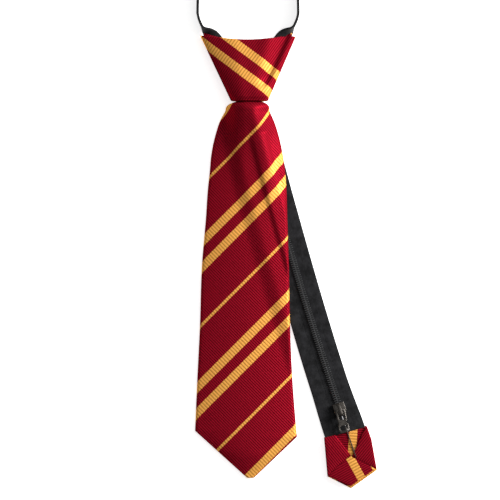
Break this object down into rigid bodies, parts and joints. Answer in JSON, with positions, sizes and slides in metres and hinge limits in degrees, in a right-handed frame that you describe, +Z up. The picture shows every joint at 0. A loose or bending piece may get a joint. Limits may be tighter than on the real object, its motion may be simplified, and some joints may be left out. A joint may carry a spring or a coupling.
{
  "type": "zipper tie",
  "caption": "Ready-tied striped necktie lying face up, with a hollow knot, a closed neck loop and a zip along its black tail strips.",
  "frame": {"origin": "middle of the knot's flat underside, on the surface that the tie lies on", "axes": "+Y from the blade's point towards the neck loop, +X to the right seen from above, +Z up, out of the tie's face"},
  "size_m": [0.1313, 0.4221, 0.017],
  "materials": {
    "striped_cloth": "satin rib weave",
    "black_cloth": "matte",
    "dark_metal": "gunmetal"
  },
  "bodies": {
    "tie": {"knot_outer_wrap": "striped_cloth", "knot_inner_wrap": "striped_cloth", "blade": "striped_cloth", "strap_left": "black_cloth", "strap_right": "black_cloth", "zip_tape_left": "black_cloth", "zip_tape_right": "black_cloth", "zip_chain": "dark_metal", "slider": "dark_metal", "tail_tip": "striped_cloth"},
    "pull": {"pull_tab": "dark_metal", "pull_ring": "dark_metal"}
  },
  "joints": [
    {"name": "pull_lift", "type": "hinge", "parent": "tie", "child": "pull", "pos_m": [0.06369, -0.23671, 0.0056], "axis": [-0.9781, -0.2079, 0], "range_deg": [0, 160]}
  ]
}
